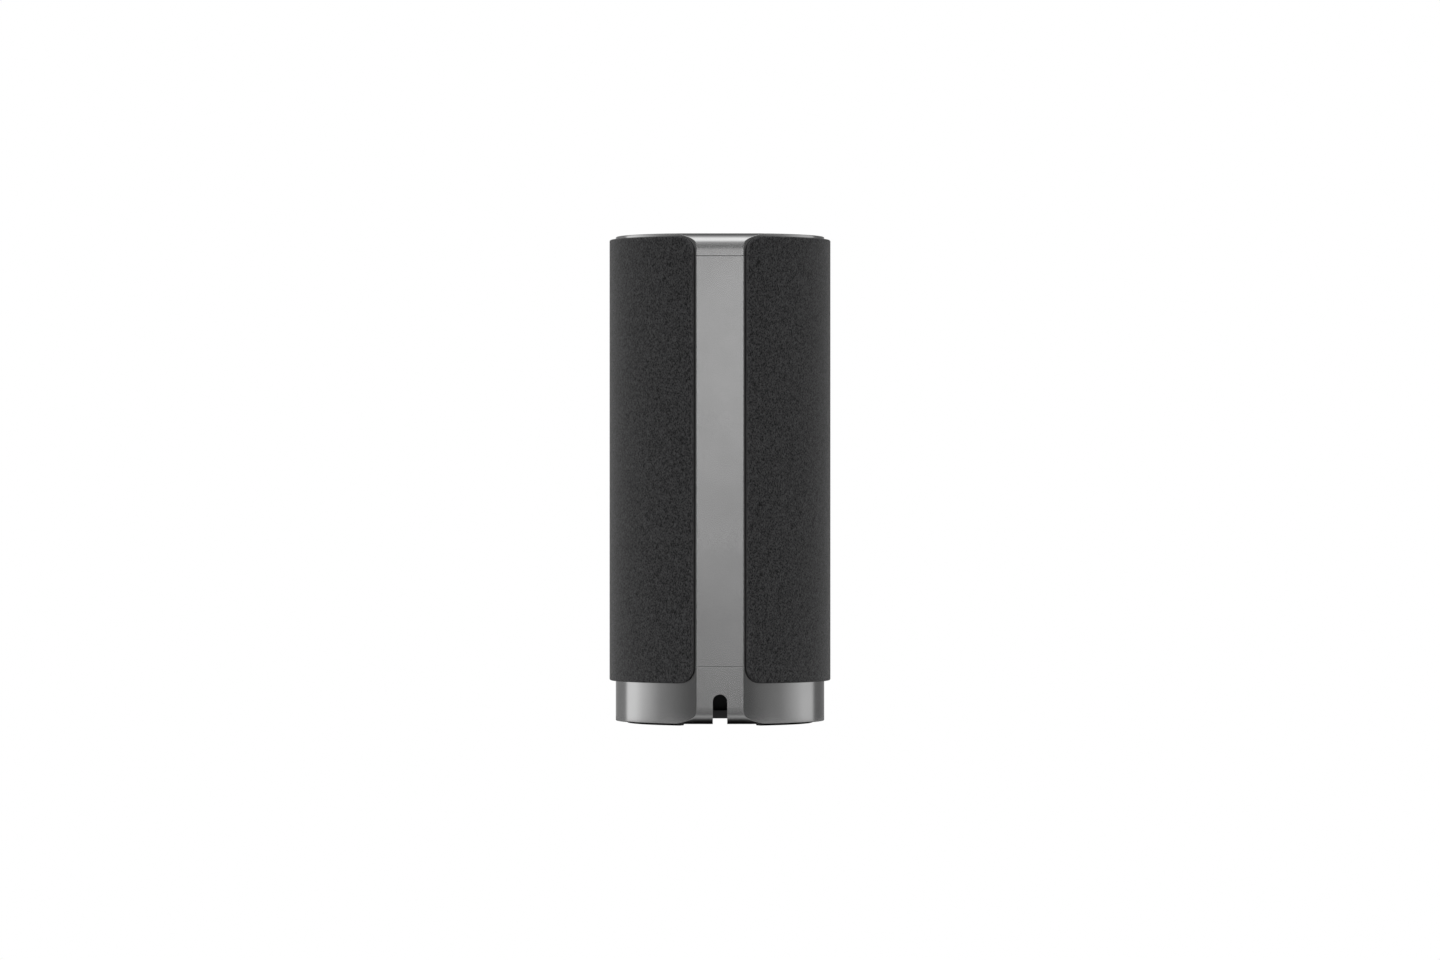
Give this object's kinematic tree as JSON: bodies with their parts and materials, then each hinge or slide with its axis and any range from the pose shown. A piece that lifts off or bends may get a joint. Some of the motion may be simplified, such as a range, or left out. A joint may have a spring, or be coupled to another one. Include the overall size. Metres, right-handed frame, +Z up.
{
  "type": "smart speaker",
  "caption": "Tall round smart speaker: cloth grille wrapped round an aluminium core with a flat rear spine, cable slot, control top and spring-return buttons.",
  "frame": {"origin": "on the table, under the axis of the round core", "axes": "+Z up along the column; the flat spine faces -Y; sound comes out towards +Y"},
  "size_m": [0.1104, 0.1088, 0.2425],
  "materials": {
    "anodised_aluminium": "bead-blasted and anodised space grey, satin",
    "woven_cloth": "black melange woven polyester cloth",
    "rubber_black": "matt moulded rubber",
    "abs_black": "matt black moulded ABS",
    "control_plate": "soft-touch black moulded plastic",
    "button_plastic": "moulded plastic button caps, finely textured",
    "light_guide": "frosted white polycarbonate",
    "circuit_board": "glass-epoxy board with green solder mask",
    "black_component": "epoxy-moulded chips and capacitors",
    "tinned_shield": "tin-plated sheet steel",
    "screw_steel": "zinc-plated steel screws",
    "heatsink_aluminium": "extruded aluminium",
    "driver_steel": "black zinc-coated steel basket, plate and yoke",
    "ferrite": "sintered ferrite ring",
    "cone_paper": "pressed paper-pulp cone and cap",
    "coil_copper": "copper wire on a former",
    "spider_cloth": "resin-dipped corrugated cloth",
    "silk_dome": "doped silk",
    "radiator_plate": "weighted moulded plate",
    "foam_grey": "open-cell damping foam",
    "led_white": "white LED packages",
    "jack_brass": "nickel-plated brass centre pin",
    "ribbon_film": "polyimide flat flexible cable",
    "seal_foam": "closed-cell sealing gasket"
  },
  "bodies": {
    "housing": {"top_cap": "anodised_aluminium", "rear_spine": "anodised_aluminium", "base_ring": "anodised_aluminium", "grille_frame": "abs_black", "grille_cloth": "woven_cloth", "left_foot": "rubber_black", "right_foot": "rubber_black", "bottom_cover": "abs_black", "bottom_screws": "screw_steel", "cable_well": "abs_black", "power_jack": "black_component", "jack_pin": "jack_brass", "power_board": "circuit_board", "power_components": "black_component", "power_heatsink": "heatsink_aluminium", "base_chassis": "abs_black", "base_screws": "screw_steel", "cabinet_tube": "abs_black", "cabinet_gasket": "seal_foam", "cabinet_lid": "abs_black", "cabinet_screws": "screw_steel", "damping_foam": "foam_grey", "woofer_basket": "driver_steel", "woofer_top_plate": "driver_steel", "woofer_magnet": "ferrite", "woofer_yoke": "driver_steel", "woofer_spider": "spider_cloth", "woofer_surround": "rubber_black", "woofer_screws": "screw_steel", "tweeter_housing": "abs_black", "tweeter_magnet": "driver_steel", "left_radiator_frame": "abs_black", "left_radiator_surround": "rubber_black", "right_radiator_frame": "abs_black", "right_radiator_surround": "rubber_black", "main_board": "circuit_board", "main_board_chips": "black_component", "board_shield": "tinned_shield", "board_screws": "screw_steel", "spine_carrier": "abs_black", "ribbon_cable": "ribbon_film", "top_carrier": "abs_black", "switch_board": "circuit_board", "tact_switches": "black_component", "leds": "led_white", "microphones": "tinned_shield", "light_ring": "light_guide", "top_plate": "control_plate", "top_screws": "screw_steel"},
    "volume_up": {"volume_up_button": "button_plastic"},
    "volume_down": {"volume_down_button": "button_plastic"},
    "action": {"action_button": "button_plastic"},
    "mute": {"mute_button": "button_plastic"},
    "woofer_diaphragm": {"woofer_cone": "cone_paper", "woofer_voice_coil": "coil_copper", "woofer_dust_cap": "cone_paper"},
    "tweeter_diaphragm": {"tweeter_dome": "silk_dome"},
    "left_radiator": {"left_radiator_plate": "radiator_plate"},
    "right_radiator": {"right_radiator_plate": "radiator_plate"}
  },
  "joints": [
    {"name": "volume_up_press", "type": "slide", "parent": "housing", "child": "volume_up", "axis": [0, 0, -1], "range_m": [0, 0.0005], "stiffness_N_per_m": 1500},
    {"name": "volume_down_press", "type": "slide", "parent": "housing", "child": "volume_down", "axis": [0, 0, -1], "range_m": [0, 0.0005], "stiffness_N_per_m": 1500},
    {"name": "action_press", "type": "slide", "parent": "housing", "child": "action", "axis": [0, 0, -1], "range_m": [0, 0.0005], "stiffness_N_per_m": 1500},
    {"name": "mute_press", "type": "slide", "parent": "housing", "child": "mute", "axis": [0, 0, -1], "range_m": [0, 0.0005], "stiffness_N_per_m": 1500},
    {"name": "woofer_travel", "type": "slide", "parent": "housing", "child": "woofer_diaphragm", "axis": [0, 1, 0], "range_m": [-0.002, 0.002], "stiffness_N_per_m": 1500, "deforming": ["woofer_surround", "woofer_spider"]},
    {"name": "tweeter_travel", "type": "slide", "parent": "housing", "child": "tweeter_diaphragm", "axis": [0, 1, 0], "range_m": [-0.00025, 0.00025], "stiffness_N_per_m": 1500},
    {"name": "left_radiator_travel", "type": "slide", "parent": "housing", "child": "left_radiator", "axis": [-1, 0, 0], "range_m": [-0.0022, 0.0025], "stiffness_N_per_m": 900, "deforming": ["left_radiator_surround"]},
    {"name": "right_radiator_travel", "type": "slide", "parent": "housing", "child": "right_radiator", "axis": [1, 0, 0], "range_m": [-0.0022, 0.0025], "stiffness_N_per_m": 900, "deforming": ["right_radiator_surround"]}
  ]
}
